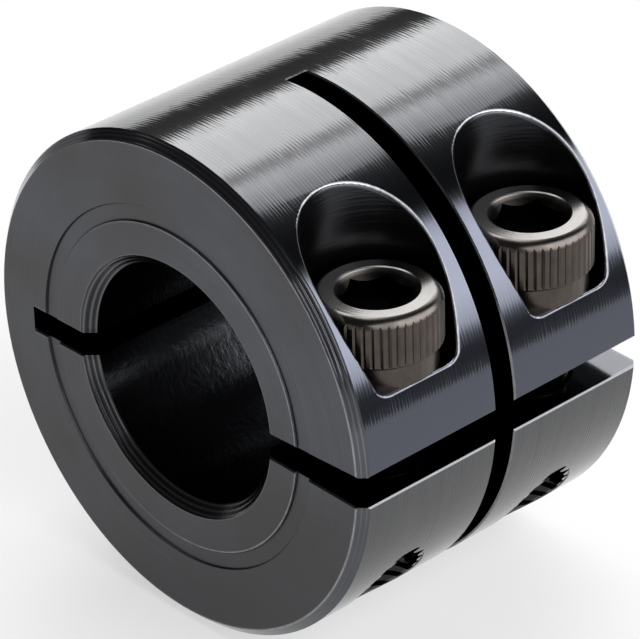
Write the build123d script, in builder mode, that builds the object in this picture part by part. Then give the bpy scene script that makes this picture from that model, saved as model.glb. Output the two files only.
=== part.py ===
from build123d import *
from build123d.topology import SkipClean
import os
from math import cos, pi, radians, sin, sqrt

os.makedirs("parts", exist_ok=True)

# Double-wide one-piece clamping shaft collar, 5/8 in bore.
# Frame: origin at the centre of the bore, half way along its length.
# Y is the shaft axis, the grooved front face looks along -Y, the clamp slot
# opens towards +X, and the two cap screws run along Z with their heads up.

INCH = 25.4

# ---- collar body ----
BORE_D = 5 / 8 * INCH  # 15.875
OUTER_D = (1 + 5 / 16) * INCH  # 33.3375
WIDTH = 15 / 16 * INCH  # 23.8125
OUTER_CHAMFER = 0.60
BORE_CHAMFER = 0.75

# shallow marking groove on the front face
GROOVE_R_IN = 10.90
GROOVE_R_OUT = 12.03
GROOVE_DEPTH = 0.14
GROOVE_RUN_IN = 0.03  # the inner wall is almost square
GROOVE_RUN_OUT = 0.07  # the outer wall is a little less steep

# ---- saw cuts ----
KERF = INCH / 16  # one 1/16 in slitting saw makes all three cuts
CUT_Z = -0.42  # plane of the clamp slot and of the relief slot
SLOT_MOUTH = 2.10  # gap at the outside diameter: the jaws stand open a little
RELIEF_X = -13.20  # square end of the relief slot, opposite the clamp slot
SAW_R = 38.1  # 3 in saw for the centre slit
SLIT_END_X = -1.00  # where the centre slit leaves the outside diameter

# ---- screw stations, one in each half of the width ----
SCREW_X = 12.40
SCREW_Y = 6.40
POCKET_D = 9.10
POCKET_FLOOR_Z = 4.92
POCKET_FLOOR_R = 0.50  # corner radius left by the pocket cutter
CLEARANCE_D = 5.20
TAPPED_D = 4.86  # drawn plain at the major diameter of 10-32 UNF
TAPPED_SINK = 0.25  # countersink of the thread at the slot face

# ---- 10-32 UNF x 1/2 in socket head cap screw ----
HEAD_D = 0.312 * INCH  # 7.925 over the knurl
HEAD_H = 0.190 * INCH  # 4.826
HEAD_TOP_R = 3.42  # edge of the top face, where the rounded shoulder starts
HEAD_CROWN = 0.03  # the top face falls away this much at its edge
HEAD_BAND_R = 3.62  # plain band under the knurl
HEAD_BAND_H = 1.62
KNURL_TEETH = 48
KNURL_DEPTH = 0.10
KNURL_TOP_Z = 4.15  # above the underside of the head
HEX_AF = 5 / 32 * INCH  # 3.969
HEX_DEPTH = 0.090 * INCH
SOCKET_MOUTH_R = 2.54  # 45 degree mouth of the socket
SOCKET_LIP = 0.10  # broken edge round the mouth
SHANK_D = 4.75  # thread drawn plain, just under the major diameter
SCREW_LENGTH = INCH / 2

# ---- edge breaks ----
RIM_BREAK = 0.18  # radius on the pocket rims
CUT_BREAK = 0.10  # edges of the saw cuts on the outside diameter and faces

OUTER_R = OUTER_D / 2
BORE_R = BORE_D / 2
HALF_W = WIDTH / 2


def on_radius(edge, x0, y0, r, tol=0.01):
    """True when every sampled point of the edge is r away from the vertical axis (x0, y0)."""
    pts = [edge @ t for t in (0, 0.17, 0.33, 0.5, 0.67, 0.83, 1)]
    return all(abs(sqrt((p.X - x0) ** 2 + (p.Y - y0) ** 2) - r) < tol for p in pts)


def on_outside(edge, tol=0.01):
    """True when every sampled point of the edge lies on the outside diameter."""
    pts = [edge @ t for t in (0, 0.25, 0.5, 0.75, 1)]
    return all(abs(sqrt(p.X**2 + p.Z**2) - OUTER_R) < tol for p in pts)


def in_pocket(edge, y0):
    """True when the edge lies within the pocket at this y."""
    pts = [edge @ t for t in (0, 0.25, 0.5, 0.75, 1)]
    return all(
        P.Z > 0 and sqrt((P.X - SCREW_X) ** 2 + (P.Y - y0) ** 2) < POCKET_D / 2 + 0.01
        for P in pts
    )


def slot_half(x):
    """Half of the clamp slot's or relief slot's gap at this x."""
    if x <= BORE_R:
        return KERF / 2
    grow = (SLOT_MOUTH - KERF) / 2 + 0.03
    return KERF / 2 + grow * (x - BORE_R) / (OUTER_R + 1 - BORE_R)


def on_saw_cut(edge, tol=0.01):
    """True for an edge where a saw cut leaves the outside diameter or an end face."""
    pts = [edge @ t for t in (0, 0.25, 0.5, 0.75, 1)]
    slit = all(abs(abs(P.Y) - KERF / 2) < tol for P in pts)
    slot = all(abs(abs(P.Z - CUT_Z) - slot_half(P.X)) < tol for P in pts)
    face = all(abs(abs(P.Y) - HALF_W) < tol for P in pts)
    return (slit and on_outside(edge)) or (slot and (on_outside(edge) or face))


# =====================================================================
# collar body
# =====================================================================
with BuildPart() as collar_body:
    # turned blank: outside diameter, bore, chamfers and face groove
    with BuildSketch(Plane.XY):
        with BuildLine():
            Polyline(
                (BORE_R, -HALF_W + BORE_CHAMFER),
                (BORE_R + BORE_CHAMFER, -HALF_W),
                (GROOVE_R_IN, -HALF_W),
                (GROOVE_R_IN + GROOVE_RUN_IN, -HALF_W + GROOVE_DEPTH),
                (GROOVE_R_OUT - GROOVE_RUN_OUT, -HALF_W + GROOVE_DEPTH),
                (GROOVE_R_OUT, -HALF_W),
                (OUTER_R - OUTER_CHAMFER, -HALF_W),
                (OUTER_R, -HALF_W + OUTER_CHAMFER),
                (OUTER_R, HALF_W - OUTER_CHAMFER),
                (OUTER_R - OUTER_CHAMFER, HALF_W),
                (BORE_R + BORE_CHAMFER, HALF_W),
                (BORE_R, HALF_W - BORE_CHAMFER),
                close=True,
            )
        make_face()
    revolve(axis=Axis.Y)

    # screw pockets: flat-bottomed with a small corner radius, open to the outside diameter
    for y in (-SCREW_Y, SCREW_Y):
        with BuildSketch(Plane((SCREW_X, y, 0), x_dir=(1, 0, 0), z_dir=(0, -1, 0))):
            with BuildLine():
                w1 = Line((0, POCKET_FLOOR_Z), (POCKET_D / 2 - POCKET_FLOOR_R, POCKET_FLOOR_Z))
                w2 = TangentArc(
                    w1 @ 1,
                    (POCKET_D / 2, POCKET_FLOOR_Z + POCKET_FLOOR_R),
                    tangent=w1 % 1,
                )
                w3 = Line(w2 @ 1, (POCKET_D / 2, OUTER_R + 1))
                w4 = Line(w3 @ 1, (0, OUTER_R + 1))
                Line(w4 @ 1, w1 @ 0)
            make_face()
        revolve(axis=Axis((SCREW_X, y, 0), (0, 0, 1)), mode=Mode.SUBTRACT)

    # sharp pocket rims are rounded before the saw cuts are made
    rims = collar_body.edges().filter_by(
        lambda e: on_outside(e) and (in_pocket(e, -SCREW_Y) or in_pocket(e, SCREW_Y))
    )
    fillet(rims, RIM_BREAK)

    # clearance holes in the upper jaw
    with BuildSketch(Plane.XY.offset(POCKET_FLOOR_Z)):
        with Locations((SCREW_X, -SCREW_Y), (SCREW_X, SCREW_Y)):
            Circle(CLEARANCE_D / 2)
    extrude(amount=-(POCKET_FLOOR_Z - CUT_Z), mode=Mode.SUBTRACT)

    # tapped holes right through the lower jaw
    with BuildSketch(Plane.XY.offset(CUT_Z)):
        with Locations((SCREW_X, -SCREW_Y), (SCREW_X, SCREW_Y)):
            Circle(TAPPED_D / 2)
    extrude(amount=-OUTER_R, mode=Mode.SUBTRACT)

    # clamp slot, opening outwards, and square-ended relief slot, full width
    with BuildSketch(Plane.XZ.offset(-OUTER_R)):
        with BuildLine():
            Polyline(
                (0, CUT_Z - KERF / 2),
                (BORE_R, CUT_Z - KERF / 2),
                (OUTER_R + 1, CUT_Z - SLOT_MOUTH / 2 - 0.03),
                (OUTER_R + 1, CUT_Z + SLOT_MOUTH / 2 + 0.03),
                (BORE_R, CUT_Z + KERF / 2),
                (0, CUT_Z + KERF / 2),
                close=True,
            )
        make_face()
        with Locations((RELIEF_X / 2, CUT_Z)):
            Rectangle(-RELIEF_X, KERF)
    extrude(amount=2 * OUTER_R, mode=Mode.SUBTRACT)

    # centre slit across the shaft axis, sawn in from the clamp side
    saw_centre_x = SLIT_END_X + sqrt(SAW_R**2 - OUTER_R**2 + SLIT_END_X**2)
    with BuildSketch(Plane.XZ.offset(-KERF / 2)):
        with Locations((saw_centre_x, 0)):
            Circle(SAW_R)
    extrude(amount=KERF, mode=Mode.SUBTRACT)

    # sharp edges of the saw cuts are broken, and the tapped holes are countersunk
    chamfer(collar_body.edges().filter_by(on_saw_cut), CUT_BREAK)
    exits = collar_body.edges().filter_by(
        lambda e: on_outside(e)
        and (e @ 0).Z < 0
        and (
            on_radius(e, SCREW_X, -SCREW_Y, TAPPED_D / 2)
            or on_radius(e, SCREW_X, SCREW_Y, TAPPED_D / 2)
        )
    )
    chamfer(exits, CUT_BREAK)
    entries = collar_body.edges().filter_by(
        lambda e: -3 < (e @ 0).Z < CUT_Z
        and (
            on_radius(e, SCREW_X, -SCREW_Y, TAPPED_D / 2)
            or on_radius(e, SCREW_X, SCREW_Y, TAPPED_D / 2)
        )
        and abs((e @ 0).Z - (e @ 0.5).Z) < 0.3
    )
    chamfer(entries, TAPPED_SINK)

# The centre slit makes two clamps on one bore. The body is divided at the slit's
# middle plane and joined again with that seam kept, so that each clamp has a bore
# wall of its own.
with BuildPart() as front_clamp:
    add(collar_body.part)
    split(bisect_by=Plane.XZ, keep=Keep.TOP)

with BuildPart() as rear_clamp:
    add(collar_body.part)
    split(bisect_by=Plane.XZ, keep=Keep.BOTTOM)

with SkipClean():
    with BuildPart() as collar:
        add(front_clamp.part)
        add(rear_clamp.part, clean=False)

collar.part.label = "collar_body"
export_step(collar.part, "parts/collar_body.step")


# =====================================================================
# socket head cap screws
# =====================================================================
def serrated(teeth, r_tip, r_root):
    """Corner points of a straight-knurled outline."""
    step = 2 * pi / teeth
    pts = []
    for i in range(teeth):
        a = i * step
        pts.append((r_tip * cos(a - 0.24 * step), r_tip * sin(a - 0.24 * step)))
        pts.append((r_tip * cos(a + 0.24 * step), r_tip * sin(a + 0.24 * step)))
        pts.append((r_root * cos(a + 0.5 * step), r_root * sin(a + 0.5 * step)))
    return pts


def screw_head(x, y):
    """Knurled head with a hex socket, seated on the pocket floor."""
    z0 = POCKET_FLOOR_Z
    with BuildPart() as head:
        # knurled blank
        with BuildSketch(Plane((x, y, z0 + HEAD_BAND_H - 0.30))):
            with BuildLine():
                Polyline(
                    *serrated(KNURL_TEETH, HEAD_D / 2, HEAD_D / 2 - KNURL_DEPTH),
                    close=True,
                )
            make_face()
        extrude(amount=HEAD_H - HEAD_BAND_H + 0.30)
        # turned envelope: rounded top edge, and the bevel below the knurl
        with BuildSketch(Plane((x, y, z0), x_dir=(1, 0, 0), z_dir=(0, -1, 0))):
            with BuildLine():
                l1 = Line((0, HEAD_BAND_H - 0.30), (HEAD_BAND_R, HEAD_BAND_H - 0.30))
                l2 = Line(l1 @ 1, (HEAD_D / 2, HEAD_BAND_H))
                l3 = Line(l2 @ 1, (HEAD_D / 2, KNURL_TOP_Z))
                l4 = ThreePointArc(
                    l3 @ 1,
                    (HEAD_TOP_R + 0.35, HEAD_H - 0.28),
                    (HEAD_TOP_R, HEAD_H - HEAD_CROWN),
                )
                l5 = Line(l4 @ 1, (SOCKET_MOUTH_R, HEAD_H))
                l6 = Line(l5 @ 1, (0, HEAD_H))
                Line(l6 @ 1, l1 @ 0)
            make_face()
        revolve(axis=Axis((x, y, 0), (0, 0, 1)), mode=Mode.INTERSECT)
        # plain band down to the bearing face
        with BuildSketch(Plane((x, y, z0))):
            Circle(HEAD_BAND_R)
        extrude(amount=HEAD_BAND_H - 0.30)
        # hex socket with a conical mouth
        with BuildSketch(Plane((x, y, z0 + HEAD_H))):
            RegularPolygon(HEX_AF / 2, 6, major_radius=False)
        extrude(amount=-HEX_DEPTH, mode=Mode.SUBTRACT)
        with BuildSketch(Plane((x, y, z0 + HEAD_H), x_dir=(1, 0, 0), z_dir=(0, -1, 0))):
            with BuildLine():
                Polyline(
                    (0, 0.01),
                    (SOCKET_MOUTH_R + SOCKET_LIP, 0.01),
                    (SOCKET_MOUTH_R + SOCKET_LIP, 0),
                    (SOCKET_MOUTH_R, -SOCKET_LIP / 2),
                    (HEX_AF / 2, -SOCKET_LIP / 2 - SOCKET_MOUTH_R + HEX_AF / 2),
                    (0, -SOCKET_LIP / 2 - SOCKET_MOUTH_R + HEX_AF / 2),
                    close=True,
                )
            make_face()
        revolve(axis=Axis((x, y, 0), (0, 0, 1)), mode=Mode.SUBTRACT)
    return head.part


def screw_shank(x, y):
    """Threaded shank below the head, drawn plain, with a chamfered point."""
    with BuildPart() as shank:
        with BuildSketch(Plane((x, y, POCKET_FLOOR_Z))):
            Circle(SHANK_D / 2)
        extrude(amount=-SCREW_LENGTH)
        chamfer(shank.edges().sort_by(Axis.Z)[0], 0.45)
    return shank.part


front_screw_head = screw_head(SCREW_X, -SCREW_Y)
front_screw_head.label = "front_screw_head"
export_step(front_screw_head, "parts/front_screw_head.step")

front_screw_shank = screw_shank(SCREW_X, -SCREW_Y)
front_screw_shank.label = "front_screw_shank"
export_step(front_screw_shank, "parts/front_screw_shank.step")

rear_screw_head = screw_head(SCREW_X, SCREW_Y)
rear_screw_head.label = "rear_screw_head"
export_step(rear_screw_head, "parts/rear_screw_head.step")

rear_screw_shank = screw_shank(SCREW_X, SCREW_Y)
rear_screw_shank.label = "rear_screw_shank"
export_step(rear_screw_shank, "parts/rear_screw_shank.step")
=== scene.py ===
import math

import bmesh
import bpy
from mathutils import Matrix, Vector


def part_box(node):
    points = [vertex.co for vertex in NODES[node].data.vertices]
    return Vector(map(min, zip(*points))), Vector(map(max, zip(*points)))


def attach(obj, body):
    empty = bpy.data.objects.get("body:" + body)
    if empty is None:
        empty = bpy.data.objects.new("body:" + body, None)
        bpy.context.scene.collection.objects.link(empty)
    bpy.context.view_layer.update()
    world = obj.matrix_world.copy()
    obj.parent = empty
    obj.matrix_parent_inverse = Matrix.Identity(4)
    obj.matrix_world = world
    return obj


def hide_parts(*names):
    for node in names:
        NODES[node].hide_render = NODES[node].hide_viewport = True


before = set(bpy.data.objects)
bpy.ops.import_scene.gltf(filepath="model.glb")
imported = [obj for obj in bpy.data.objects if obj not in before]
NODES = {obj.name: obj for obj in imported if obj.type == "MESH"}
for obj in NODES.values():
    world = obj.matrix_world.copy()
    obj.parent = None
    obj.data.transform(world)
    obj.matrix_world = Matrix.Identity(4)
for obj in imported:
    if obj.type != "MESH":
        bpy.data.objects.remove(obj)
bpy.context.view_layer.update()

# ------------------------------------------------------------------ sizes, in metres, from the frame
body_lo, body_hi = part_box("collar_body")
R_OUT = body_hi.z
HALF_W = body_hi.y


# ------------------------------------------------------------------ node helpers
class Graph:
    """A small builder for shader node trees."""

    def __init__(self, name):
        self.mat = bpy.data.materials.new(name)
        self.mat.use_nodes = True
        self.t = self.mat.node_tree
        self.t.nodes.clear()
        self.out = self.t.nodes.new("ShaderNodeOutputMaterial")
        self.bsdf = self.t.nodes.new("ShaderNodeBsdfPrincipled")
        self.t.links.new(self.bsdf.outputs[0], self.out.inputs[0])
        self.coord = self.t.nodes.new("ShaderNodeTexCoord").outputs["Object"]
        self.sep = self.t.nodes.new("ShaderNodeSeparateXYZ")
        self.t.links.new(self.coord, self.sep.inputs[0])

    def put(self, socket, value):
        if isinstance(value, bpy.types.NodeSocket):
            self.t.links.new(value, socket)
        else:
            socket.default_value = value

    def set(self, name, value):
        self.put(self.bsdf.inputs[name], value)

    def math(self, op, a, b=0.0, c=0.0, clamp=False):
        n = self.t.nodes.new("ShaderNodeMath")
        n.operation = op
        n.use_clamp = clamp
        self.put(n.inputs[0], a)
        self.put(n.inputs[1], b)
        self.put(n.inputs[2], c)
        return n.outputs[0]

    def vec(self, x, y, z):
        n = self.t.nodes.new("ShaderNodeCombineXYZ")
        for i, v in enumerate((x, y, z)):
            self.put(n.inputs[i], v)
        return n.outputs[0]

    def noise(self, vector, scale=1.0, detail=2.0, rough=0.5, distort=0.0):
        n = self.t.nodes.new("ShaderNodeTexNoise")
        self.put(n.inputs["Vector"], vector)
        n.inputs["Scale"].default_value = scale
        n.inputs["Detail"].default_value = detail
        n.inputs["Roughness"].default_value = rough
        n.inputs["Distortion"].default_value = distort
        return n.outputs[0]

    def map(self, v, a, b, c, d, kind="LINEAR"):
        n = self.t.nodes.new("ShaderNodeMapRange")
        n.interpolation_type = kind
        n.clamp = True
        self.put(n.inputs[0], v)
        for i, x in enumerate((a, b, c, d)):
            self.put(n.inputs[i + 1], x)
        return n.outputs[0]

    def mix(self, f, a, b):
        n = self.t.nodes.new("ShaderNodeMix")
        n.data_type = "RGBA"
        self.put(n.inputs[0], f)
        self.put(n.inputs[6], a)
        self.put(n.inputs[7], b)
        return n.outputs[2]

    def bump(self, height, strength, distance, normal=None):
        n = self.t.nodes.new("ShaderNodeBump")
        n.inputs["Strength"].default_value = strength
        n.inputs["Distance"].default_value = distance
        self.put(n.inputs["Height"], height)
        if normal is not None:
            self.t.links.new(normal, n.inputs["Normal"])
        return n.outputs[0]


# ------------------------------------------------------------------ black-oxide turned steel
MM = 0.001
PCX, PCY, PR = 12.40 * MM, 6.40 * MM, 4.55 * MM  # screw pockets: axis and radius
CUT_Z = -0.42 * MM


def collar_material():
    g = Graph("black_oxide_turned_steel")
    x, y, z = g.sep.outputs[0], g.sep.outputs[1], g.sep.outputs[2]
    mul, add, sub, absv = (
        lambda a, b: g.math("MULTIPLY", a, b),
        lambda a, b: g.math("ADD", a, b),
        lambda a, b: g.math("SUBTRACT", a, b),
        lambda a: g.math("ABSOLUTE", a),
    )
    geo = g.t.nodes.new("ShaderNodeNewGeometry")
    nsep = g.t.nodes.new("ShaderNodeSeparateXYZ")
    nobj = g.t.nodes.new("ShaderNodeVectorTransform")
    nobj.vector_type, nobj.convert_from, nobj.convert_to = "NORMAL", "WORLD", "OBJECT"
    g.t.links.new(geo.outputs["True Normal"], nobj.inputs[0])
    g.t.links.new(nobj.outputs[0], nsep.inputs[0])
    ny, nz = absv(nsep.outputs[1]), absv(nsep.outputs[2])
    r = g.math("SQRT", add(mul(x, x), mul(z, z)))
    ya = absv(y)
    # distance from the nearer screw's axis
    py = sub(ya, PCY)
    px = sub(x, PCX)
    rp = g.math("SQRT", add(mul(px, px), mul(py, py)))

    # where each kind of machining shows
    end = mul(g.map(ny, 0.93, 0.98, 0.0, 1.0), g.map(ya, HALF_W - 0.0005, HALF_W - 0.0003, 0, 1))
    cone = mul(g.map(ny, 0.55, 0.65, 0.0, 1.0), g.map(ny, 0.78, 0.86, 1.0, 0.0))
    cone = mul(cone, g.map(ya, HALF_W - 0.00085, HALF_W - 0.00078, 0, 1))
    outer_cone = mul(cone, g.map(r, R_OUT - 0.0012, R_OUT - 0.0009, 0, 1))
    bore_cone = mul(cone, g.map(r, 0.0088, 0.0091, 1, 0))
    od = mul(g.map(r, R_OUT - 0.00012, R_OUT - 0.00006, 0, 1), g.map(ny, 0.2, 0.4, 1, 0))
    bore = mul(g.map(r, 0.00802, 0.00812, 1, 0), g.map(ny, 0.2, 0.4, 1, 0))
    pocket = mul(
        mul(g.map(rp, PR - 0.0006, PR - 0.0003, 0, 1), g.map(rp, PR + 0.00003, PR + 0.0001, 1, 0)),
        mul(g.map(z, 0.0048, 0.0050, 0, 1), g.map(r, R_OUT - 0.0003, R_OUT - 0.0002, 1, 0)),
    )

    # turned outside: feed marks along the axis, drifting slowly round it
    ang = g.math("ARCTAN2", z, x)
    feed = g.noise(g.vec(mul(y, 1500.0), mul(ang, 2.2), 0.0), 1.0, 2.0, 0.5)
    phase = add(mul(y, 2 * math.pi / 0.00025), mul(feed, 11.0))
    wave = g.math("SINE", phase)
    fine = g.noise(g.vec(mul(y, 7200.0), mul(ang, 3.0), 5.0), 1.0, 2.0, 0.6)
    amp = g.noise(g.vec(mul(y, 900.0), mul(ang, 5.0), 11.0), 1.0, 2.0, 0.5)
    h_od = add(mul(wave, g.map(amp, 0.3, 0.7, 0.10, 0.62)), mul(fine, 2.0))
    # turned end faces and chamfers: rings
    rfine = g.noise(g.vec(mul(r, 5200.0), mul(ang, 1.3), 7.0), 1.0, 3.0, 0.65)
    rbroad = g.noise(g.vec(mul(r, 1300.0), mul(ang, 0.6), 9.0), 1.0, 1.0, 0.5)
    h_end = add(mul(rfine, 3.0), mul(rbroad, 3.5))
    cfine = g.noise(g.vec(mul(y, 14000.0), mul(ang, 0.7), 17.0), 1.0, 2.0, 0.6)
    # the chamfering tool's own coarse rings
    turn = g.noise(g.vec(mul(y, 900.0), mul(ang, 0.5), 41.0), 1.0, 1.0, 0.5)
    ring_b = g.math("SINE", add(mul(y, 2 * math.pi / 0.00026), mul(turn, 6.0)))
    ring_o = g.math("SINE", add(mul(y, 2 * math.pi / 0.00020), mul(turn, 6.0)))
    # bored wall: coarser rings
    bfine = g.noise(g.vec(mul(y, 4200.0), mul(ang, 1.0), 23.0), 1.0, 3.0, 0.7)
    # milled pocket walls: rings round the screw axis
    pang = g.math("ARCTAN2", py, px)
    pfine = g.noise(g.vec(mul(z, 5200.0), mul(pang, 0.9), 31.0), 1.0, 3.0, 0.6)
    cloud = g.noise(g.coord, 260.0, 4.0, 0.6)
    grit = g.noise(g.coord, 6500.0, 3.0, 0.6)
    blotch = g.noise(g.coord, 2300.0, 3.0, 0.6)

    # saw-cut walls: the slots' flats and the centre slit's sides, and everything inside them
    in_slit = g.map(ya, 0.00090, 0.00094, 1, 0)
    zc = absv(sub(z, CUT_Z))
    in_slot = mul(g.map(zc, 0.00108, 0.00114, 1, 0), g.map(absv(x), 0.0075, 0.0078, 0, 1))
    inside = g.map(r, R_OUT - 0.00022, R_OUT - 0.00012, 1, 0)
    saw = mul(g.math("MAXIMUM", in_slit, mul(in_slot, g.map(ya, HALF_W - 0.0003, HALF_W - 0.0001, 1, 0))), inside)
    pin = g.map(rp, 0.00262, 0.00268, 1, 0)
    hole = mul(pin, inside)

    # edges: paler where handling has thinned the oxide, plus painted highlight
    def near(v, at, half):
        return g.map(absv(sub(v, at)), half * 0.4, half, 1, 0)

    on_face = g.map(ya, HALF_W - 0.00006, HALF_W - 0.00002, 0, 1)
    # painted highlight: edge paleness grows towards +X, the lit side
    highlight_side = g.map(x, -0.008, 0.005, 0.08, 1.0)
    e_ring = mul(mul(near(r, R_OUT - 0.00062, 0.00009), on_face), highlight_side)
    e_bore = mul(near(r, 0.00869, 0.00006), on_face)
    grooved = mul(mul(g.map(y, -HALF_W + 0.00025, -HALF_W + 0.0003, 1, 0), near(r, 0.01086, 0.00008)), highlight_side)
    rim = mul(
        mul(g.map(r, R_OUT - 0.00019, R_OUT - 0.00015, 0, 1), g.map(r, R_OUT - 0.00003, R_OUT - 0.00001, 1, 0)),
        mul(g.map(rp, PR + 0.0003, PR + 0.0005, 1, 0), g.map(z, 0.004, 0.0045, 0, 1)),
    )
    far = g.map(r, R_OUT - 0.00014, R_OUT - 0.00010, 0, 1)
    e_slit = mul(mul(near(ya, 0.00084, 0.00009), far), g.map(x, -0.0011, -0.0010, 0, 1))
    e_end = mul(mul(near(x, -0.00108, 0.00018), far), mul(g.map(ya, 0.00085, 0.00095, 1, 0), g.map(z, 0.01, 0.011, 0, 1)))
    half_gap = g.map(absv(x), 0.0079375, 0.01766875, 0.00079375, 0.00108)
    e_slot = mul(near(sub(zc, half_gap), 0.00004, 0.00009), g.math("MAXIMUM", mul(far, g.map(x, 0.01, 0.011, 0, 1)), mul(on_face, g.map(x, -0.0132, -0.0131, 0, 1))))
    wear_n = g.map(g.noise(g.coord, 1400.0, 3.0, 0.7), 0.35, 0.65, 0.55, 1.0)
    edge_wear_and_highlight = g.math("MINIMUM", add(add(add(mul(e_ring, 0.85), mul(e_bore, 0.25)), add(mul(grooved, 0.65), mul(rim, 0.9))), add(add(mul(e_slit, 0.45), mul(e_end, 1.0)), mul(e_slot, 0.12))), 1.0)
    edge_wear_and_highlight = mul(edge_wear_and_highlight, wear_n)
    # the groove's walls: painted shade (applied below) and a rougher finish
    gwall = mul(mul(g.map(ny, 0.90, 0.96, 1, 0), g.map(absv(sub(r, 0.01146)), 0.00062, 0.00066, 1, 0)), g.map(y, -HALF_W + 0.0002, -HALF_W + 0.00025, 1, 0))
    height = mul(od, h_od)
    height = add(height, mul(end, h_end))
    upper = g.map(z, -0.006, 0.004, 0.15, 1.0)
    height = add(height, mul(outer_cone, mul(upper, add(mul(cfine, 3.0), mul(ring_o, 1.1)))))
    height = add(height, mul(bore_cone, add(mul(cfine, 3.0), mul(ring_b, 1.2))))
    height = add(height, mul(bore, add(mul(bfine, 2.2), mul(blotch, 5.0))))
    height = add(height, mul(pocket, mul(pfine, 3.2)))
    height = add(height, mul(grit, 0.16))
    g.set("Normal", g.bump(height, 1.0, 0.0000042))
    g.set("Metallic", 1.0)
    tone = g.map(cloud, 0.3, 0.7, 0, 1)
    base = g.mix(tone, (0.082, 0.085, 0.092, 1), (0.094, 0.098, 0.108, 1))
    # the turned outside's thinner oxide varies in tone along the feed marks
    base = g.mix(od, base, g.mix(g.map(feed, 0.3, 0.7, 0, 1), (0.091, 0.092, 0.095, 1), (0.101, 0.102, 0.104, 1)))
    # painted reflection: the upper part of the turned outside is tinted steel-blue
    blue_reflection = mul(g.map(z, -0.002, 0.001, 0, 1), g.map(z, 0.0115, 0.0162, 1, 0))
    base = g.mix(mul(od, mul(blue_reflection, 0.8)), base, (0.084, 0.092, 0.118, 1))
    # turning rings and a patchy, bluer oxide on the end faces
    patch = g.noise(g.coord, 95.0, 3.0, 0.55)
    ring_tone = add(mul(rfine, 0.6), mul(rbroad, 0.4))
    face_col = g.mix(g.map(patch, 0.35, 0.65, 0, 1), (0.067, 0.066, 0.067, 1), (0.087, 0.091, 0.104, 1))
    face_col = g.mix(g.map(ring_tone, 0.35, 0.65, 0.35, 0.0), face_col, (0.052, 0.051, 0.052, 1))
    # painted shade: the end faces darken towards the bottom
    face_col = g.mix(g.map(z, -0.0165, 0.002, 0.65, 0.0), face_col, (0.048, 0.047, 0.048, 1))
    base = g.mix(end, base, face_col)
    # painted shade in the groove's corners
    groove_corner_shade = mul(add(near(r, 0.01095, 0.00009), mul(near(r, 0.01198, 0.00008), 0.7)), g.map(y, -HALF_W + 0.0002, -HALF_W + 0.00025, 1, 0))
    # painted shade: pockets, groove walls and corners, bore, saw cuts and tapped holes are darkened towards near-black
    recess_shade = add(add(add(mul(pocket, 0.78), mul(gwall, 0.8)), add(mul(bore, 0.85), mul(groove_corner_shade, 0.9))), add(mul(saw, 0.55), mul(hole, 0.9)))
    base = g.mix(g.math("MINIMUM", recess_shade, 1.0), base, (0.026, 0.027, 0.030, 1))
    # the tool's spiral rings in the chamfers: painted highlights make them paler, stronger towards the top of the
    # outer chamfer, and painted shade darkens the bore chamfer between them
    base = g.mix(mul(bore_cone, g.map(add(ring_b, mul(cfine, 1.2)), 0.0, 1.2, 0.88, 0.35)), base, (0.020, 0.020, 0.022, 1))
    base = g.mix(mul(bore_cone, g.map(add(ring_b, mul(cfine, 1.2)), 1.1, 1.7, 0.0, 0.35)), base, (0.24, 0.24, 0.25, 1))
    base = g.mix(mul(mul(outer_cone, upper), g.map(add(ring_o, cfine), 0.8, 1.5, 0.0, 0.35)), base, (0.30, 0.30, 0.32, 1))
    # pale edges: wear, and painted highlight
    base = g.mix(edge_wear_and_highlight, base, (0.34, 0.34, 0.36, 1))
    g.set("Base Color", base)
    rough = add(0.095, mul(end, g.map(ring_tone, 0.35, 0.65, 0.21, 0.30)))
    rough = add(rough, mul(bore_cone, 0.10))
    rough = add(rough, mul(bore, 0.10))
    rough = add(rough, mul(pocket, 0.16))
    rough = add(rough, mul(gwall, 0.28))
    rough = add(rough, mul(edge_wear_and_highlight, 0.14))
    rough = add(rough, g.map(cloud, 0.3, 0.7, -0.012, 0.020))
    g.set("Roughness", rough)
    return g.mat


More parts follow.
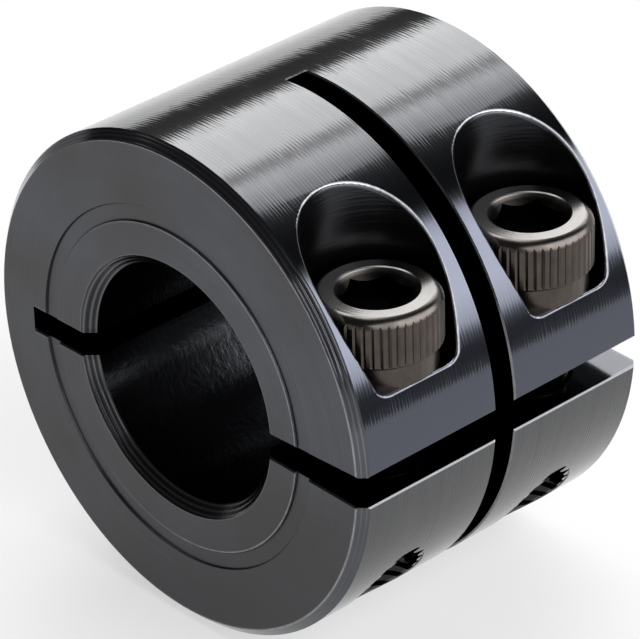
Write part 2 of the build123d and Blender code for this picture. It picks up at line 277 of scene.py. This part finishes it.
def screw_material(name, y0):
    """Alloy steel under a thin brownish black oxide, for the screw whose axis is at y0."""
    g = Graph(name)
    x, y, z = g.sep.outputs[0], g.sep.outputs[1], g.sep.outputs[2]
    mul, add, sub = (
        lambda a, b: g.math("MULTIPLY", a, b),
        lambda a, b: g.math("ADD", a, b),
        lambda a, b: g.math("SUBTRACT", a, b),
    )
    px, py = sub(x, PCX), sub(y, y0)
    rs = g.math("SQRT", add(mul(px, px), mul(py, py)))
    pa = g.math("ARCTAN2", py, px)
    cloud = g.noise(g.coord, 1100.0, 4.0, 0.6)
    big = g.noise(g.coord, 320.0, 2.0, 0.5)
    grit = g.noise(g.coord, 7000.0, 2.0, 0.6)
    top = g.map(z, HEAD_TOP - 0.00012, HEAD_TOP - 0.00005, 0, 1)
    socket = mul(g.map(rs, 0.00245, 0.00256, 1, 0), g.map(z, HEAD_TOP - 0.00010, HEAD_TOP - 0.00030, 0, 1))
    rings = g.noise(g.vec(mul(rs, 6000.0), mul(pa, 0.7), 3.0), 1.0, 2.0, 0.6)
    drawn = g.noise(g.vec(mul(z, 900.0), mul(pa, 40.0), 9.0), 1.0, 3.0, 0.6)
    side = mul(g.map(rs, 0.00345, 0.00355, 0, 1), g.map(z, HEAD_TOP - 0.0006, HEAD_TOP - 0.0004, 1, 0))
    col = g.mix(g.map(cloud, 0.3, 0.7, 0, 1), (0.072, 0.063, 0.057, 1), (0.108, 0.098, 0.091, 1))
    col = g.mix(mul(side, g.map(drawn, 0.3, 0.7, 0.2, 0.8)), col, (0.068, 0.053, 0.045, 1))
    col = g.mix(mul(top, 0.8), col, (0.150, 0.146, 0.141, 1))
    # painted shade: the shank, down in the slot and the hole, is darkened
    shank = g.map(z, 0.0047, 0.0049, 1, 0)
    col = g.mix(mul(shank, 0.6), col, (0.045, 0.041, 0.038, 1))
    # painted shade: the hex socket is darkened to near-black
    col = g.mix(socket, col, (0.014, 0.013, 0.012, 1))
    g.set("Base Color", col)
    g.set("Metallic", 1.0)
    g.set("Roughness", add(g.map(big, 0.3, 0.7, 0.17, 0.23), mul(side, 0.12)))
    h = add(add(mul(cloud, 0.7), mul(grit, 0.35)), add(mul(top, mul(rings, 1.2)), mul(side, mul(drawn, 1.5))))
    g.set("Normal", g.bump(h, 1.0, 0.0000050))
    return g.mat


M_COLLAR = collar_material()
HEAD_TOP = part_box("front_screw_head")[1].z
M_FRONT = screw_material("black_oxide_front_screw", -PCY)
M_REAR = screw_material("black_oxide_rear_screw", PCY)
for name, o in NODES.items():
    m = M_COLLAR if name == "collar_body" else (M_FRONT if name.startswith("front") else M_REAR)
    if not o.material_slots:
        o.data.materials.append(m)
    for s in o.material_slots:
        s.material = m

# ------------------------------------------------------------------ 10-32 threads (right hand), cut along one helix
PITCH = 25.4 / 32 * MM
STEPS = 40  # per turn
FLANK = math.tan(math.radians(30))


def helix_bar(name, cx, cy, z0, z1, profile, phase):
    """A closed bar swept up a helix: profile is a loop of (radius, height) points, heights within one pitch."""
    bm = bmesh.new()
    k = len(profile)
    first = math.floor(z0 / PITCH) - 2
    last = math.ceil(z1 / PITCH) + 2
    rows = []
    for i in range((last - first) * STEPS + 1):
        t = first + i / STEPS
        a = 2 * math.pi * (t - phase)
        rows.append([bm.verts.new((cx + r * math.cos(a), cy + r * math.sin(a), t * PITCH + h)) for r, h in profile])
    for p_, q_ in zip(rows, rows[1:]):
        for j in range(k):
            bm.faces.new((p_[j], p_[(j + 1) % k], q_[(j + 1) % k], q_[j]))
    bm.faces.new(rows[0][::-1])
    bm.faces.new(rows[-1])
    trim(bm, (0, 0, z1), (0, 0, 1))
    trim(bm, (0, 0, z0), (0, 0, -1))
    return bm


def trim(bm, point, normal):
    """Cuts away what lies beyond the plane, and closes the cut."""
    geom = bm.verts[:] + bm.edges[:] + bm.faces[:]
    cut = bmesh.ops.bisect_plane(
        bm, geom=geom, dist=1e-8, plane_co=point, plane_no=normal, clear_outer=True, clear_inner=False
    )
    edges = [e for e in cut["geom_cut"] if isinstance(e, bmesh.types.BMEdge) and e.is_boundary]
    if edges:
        bmesh.ops.holes_fill(bm, edges=edges, sides=0)


def finish_piece(bm, name, material, body):
    bmesh.ops.recalc_face_normals(bm, faces=bm.faces[:])
    me_ = bpy.data.meshes.new(name)
    bm.to_mesh(me_)
    bm.free()
    o_ = bpy.data.objects.new(name, me_)
    bpy.context.scene.collection.objects.link(o_)
    o_.data.materials.append(material)
    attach(o_, body)
    return o_


for side, cy, mat in (("front", -PCY, M_FRONT), ("rear", PCY, M_REAR)):
    s_lo, s_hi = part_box(side + "_screw_shank")
    crest = (s_hi.x - s_lo.x) / 2 - 0.000005
    root = crest - 0.00043
    z_top, z_tip = s_hi.z, s_lo.z
    # external thread: a crest ridge standing on a root core
    half = 0.000050
    wide = half + (crest - root + 0.00008) * FLANK
    bm = helix_bar(
        side, PCX, cy, z_tip + 0.00002, z_top,
        [(root - 0.00008, -wide), (crest, -half), (crest, half), (root - 0.00008, wide)], 0.0,
    )
    for v in bm.verts:
        limit = root - 0.00010 + (v.co.z - z_tip) * 0.9
        dx, dy = v.co.x - PCX, v.co.y - cy
        rr = math.hypot(dx, dy)
        if rr > limit:
            v.co.x, v.co.y = PCX + dx * limit / rr, cy + dy * limit / rr
    core = bmesh.ops.create_cone(
        bm, cap_ends=True, segments=64, radius1=root - 0.00012, radius2=root, depth=z_top - z_tip,
        matrix=Matrix.Translation((PCX, cy, (z_top + z_tip) / 2)),
    )
    for v in core["verts"]:
        rr = math.hypot(v.co.x - PCX, v.co.y - cy)
        f_ = (root if v.co.z > z_tip + 0.0001 else root - 0.00012) / rr
        v.co.x, v.co.y = PCX + (v.co.x - PCX) * f_, cy + (v.co.y - cy) * f_
    piece = finish_piece(bm, side + "_screw_thread", mat, side + "_screw")
    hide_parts(side + "_screw_shank")
    # internal thread in the lower jaw, from the slot out to the turned outside
    tap = 0.00243
    tip_r = 0.00214
    ih = 0.00012
    iw = ih + (tap + 0.00002 - tip_r) * FLANK
    bm = helix_bar(
        side, PCX, cy, -R_OUT, -0.00150,
        [(tap + 0.00002, -iw), (tap + 0.00002, iw), (tip_r, ih), (tip_r, -ih)], 0.5,
    )
    for deg in range(-62, -18, 2):
        n_ = Vector((math.cos(math.radians(deg)), 0, math.sin(math.radians(deg))))
        trim(bm, n_ * (R_OUT - 0.00006), n_)
    finish_piece(bm, side + "_tapped_thread", M_COLLAR, "collar")

# ------------------------------------------------------------------ stage: a pale floor in a soft studio
bpy.context.scene.view_settings.view_transform = "Standard"
floor_z = body_lo.z - 0.00002
bm = bmesh.new()
bmesh.ops.create_circle(bm, cap_ends=True, segments=96, radius=0.115)
for v in bm.verts:
    v.co.z = floor_z
me = bpy.data.meshes.new("floor")
bm.to_mesh(me)
bm.free()
floor = bpy.data.objects.new("floor", me)
bpy.context.scene.collection.objects.link(floor)
fm = bpy.data.materials.new("floor_white")
fm.use_nodes = True
fb = fm.node_tree.nodes["Principled BSDF"]
fb.inputs["Base Color"].default_value = (0.28, 0.28, 0.28, 1)
fb.inputs["Roughness"].default_value = 0.9
fb.inputs["Specular IOR Level"].default_value = 0.05
fb.inputs["Emission Color"].default_value = (1, 1, 1, 1)
fb.inputs["Emission Strength"].default_value = 0.56
floor.data.materials.append(fm)

# Long soft boxes parallel to the shaft axis: (angle from +X towards +Z in degrees, radiance).
STRIPS = (
    (-180, 1.45), (-19, 1.40), (-14, 0.36), (-9, 0.20), (-1, 0.26), (3, 0.9), (7, 4.0),
    (12, 5.0), (20, 6.0), (44, 5.8), (52, 4.2), (57, 0.40), (61, 0.05), (72, 0.06), (80, 0.12),
    (87, 0.26), (91.5, 2.5), (97, 3.8), (104, 5.2), (107, 2.4), (111, 2.4), (114, 6.0), (138, 6.0),
    (146, 5.8), (148, 0.36), (152, 0.24), (162, 0.14), (170.5, 0.16), (173.0, 1.70), (180, 1.55),
)
PEAK = max(v for _, v in STRIPS)
world = bpy.data.worlds.new("studio")
bpy.context.scene.world = world
world.use_nodes = True
wt = world.node_tree
wt.nodes.clear()


def wnode(kind, **kw):
    n = wt.nodes.new(kind)
    for k, v in kw.items():
        setattr(n, k, v)
    return n


def wmath(op, a, b=0.0, clamp=False):
    n = wnode("ShaderNodeMath", operation=op, use_clamp=clamp)
    for i, v in enumerate((a, b)):
        if isinstance(v, bpy.types.NodeSocket):
            wt.links.new(v, n.inputs[i])
        else:
            n.inputs[i].default_value = v
    return n.outputs[0]


def wramp(v, a, b, c, d):
    n = wnode("ShaderNodeMapRange", interpolation_type="SMOOTHSTEP")
    wt.links.new(v, n.inputs[0])
    for i, q in enumerate((a, b, c, d)):
        n.inputs[i + 1].default_value = q
    return n.outputs[0]


wsep = wnode("ShaderNodeSeparateXYZ")
wt.links.new(wnode("ShaderNodeTexCoord").outputs["Generated"], wsep.inputs[0])
phi = wmath("ARCTAN2", wsep.outputs[2], wsep.outputs[0])
u = wmath("ADD", wmath("DIVIDE", phi, 2 * math.pi), 0.5)
ramp = wnode("ShaderNodeValToRGB")
wt.links.new(u, ramp.inputs[0])
el = ramp.color_ramp.elements
while len(el) > 1:
    el.remove(el[-1])
for i, (a_, v_) in enumerate(STRIPS):
    p_ = (a_ + 180.0) / 360.0
    e_ = el[0] if i == 0 else el.new(p_)
    e_.position = p_
    e_.color = (v_ / PEAK, v_ / PEAK, v_ / PEAK, 1)
strips = wmath("MULTIPLY", ramp.outputs[0], PEAK)
# towards -Y the boxes end early, and at both ends of the axis the room is even
front = wramp(wsep.outputs[1], -0.30, -0.10, 0.0, 1.0)
back_fill = wramp(wsep.outputs[1], -0.76, -0.66, 0.0, 1.0)
right_box = wmath("MULTIPLY", wramp(phi, 0.10, 0.25, 0.0, 1.0), wramp(phi, 0.90, 1.05, 1.0, 0.0))
fill = wmath("ADD", wmath("MULTIPLY", wmath("MULTIPLY", back_fill, right_box), 3.2), 0.10)
low = wramp(wsep.outputs[2], -0.02, 0.10, 0.75, 0.0)
fill = wmath("ADD", fill, low)
left_low = wmath("MULTIPLY", wramp(wsep.outputs[0], -0.75, -0.45, 1.0, 0.0), wramp(wsep.outputs[1], 0.18, 0.42, 1.0, 0.0))
strips = wmath("MULTIPLY", strips, wmath("SUBTRACT", 1.0, wmath("MULTIPLY", left_low, 0.72)))
mixv = wmath("ADD", wmath("MULTIPLY", strips, front), wmath("MULTIPLY", fill, wmath("SUBTRACT", 1.0, front)))
ends = wramp(wmath("ABSOLUTE", wsep.outputs[1]), 0.86, 0.97, 0.0, 1.0)
mixv = wmath("ADD", wmath("MULTIPLY", mixv, wmath("SUBTRACT", 1.0, ends)), wmath("MULTIPLY", ends, 0.8))
bg_light = wnode("ShaderNodeBackground")
wt.links.new(mixv, bg_light.inputs[1])
bg_plain = wnode("ShaderNodeBackground")
bg_plain.inputs[1].default_value = 1.3
mixs = wnode("ShaderNodeMixShader")
wt.links.new(wnode("ShaderNodeLightPath").outputs["Is Camera Ray"], mixs.inputs[0])
wt.links.new(bg_light.outputs[0], mixs.inputs[1])
wt.links.new(bg_plain.outputs[0], mixs.inputs[2])
wt.links.new(mixs.outputs[0], wnode("ShaderNodeOutputWorld").inputs[0])

# ------------------------------------------------------------------ camera, at the photograph's viewing angle
AZ, EL, ROLL = math.radians(47.4829), math.radians(30.2563), math.radians(-1.7289)
DIST = 16.0811 * 0.01666875
TX, TZ = 0.0162 * 0.01666875, (-0.0092 + 0.0019) * 0.01666875
d = Vector((math.sin(AZ) * math.cos(EL), -math.cos(AZ) * math.cos(EL), math.sin(EL)))
right = Vector((math.cos(AZ), math.sin(AZ), 0))
up = d.cross(right)
right2 = math.cos(ROLL) * right + math.sin(ROLL) * up
up2 = -math.sin(ROLL) * right + math.cos(ROLL) * up
cam_data = bpy.data.cameras.new("camera")
cam_data.sensor_width = 36.0
cam_data.lens = 4286.1984 * 36.0 / 640.0
cam_data.clip_start = 0.01
cam_data.clip_end = 10.0
cam = bpy.data.objects.new("camera", cam_data)
bpy.context.scene.collection.objects.link(cam)
rot = Matrix((right2, up2, d)).transposed()
cam.matrix_world = Matrix.Translation(right2 * TX + up2 * TZ + d * DIST) @ rot.to_4x4()
bpy.context.scene.camera = cam
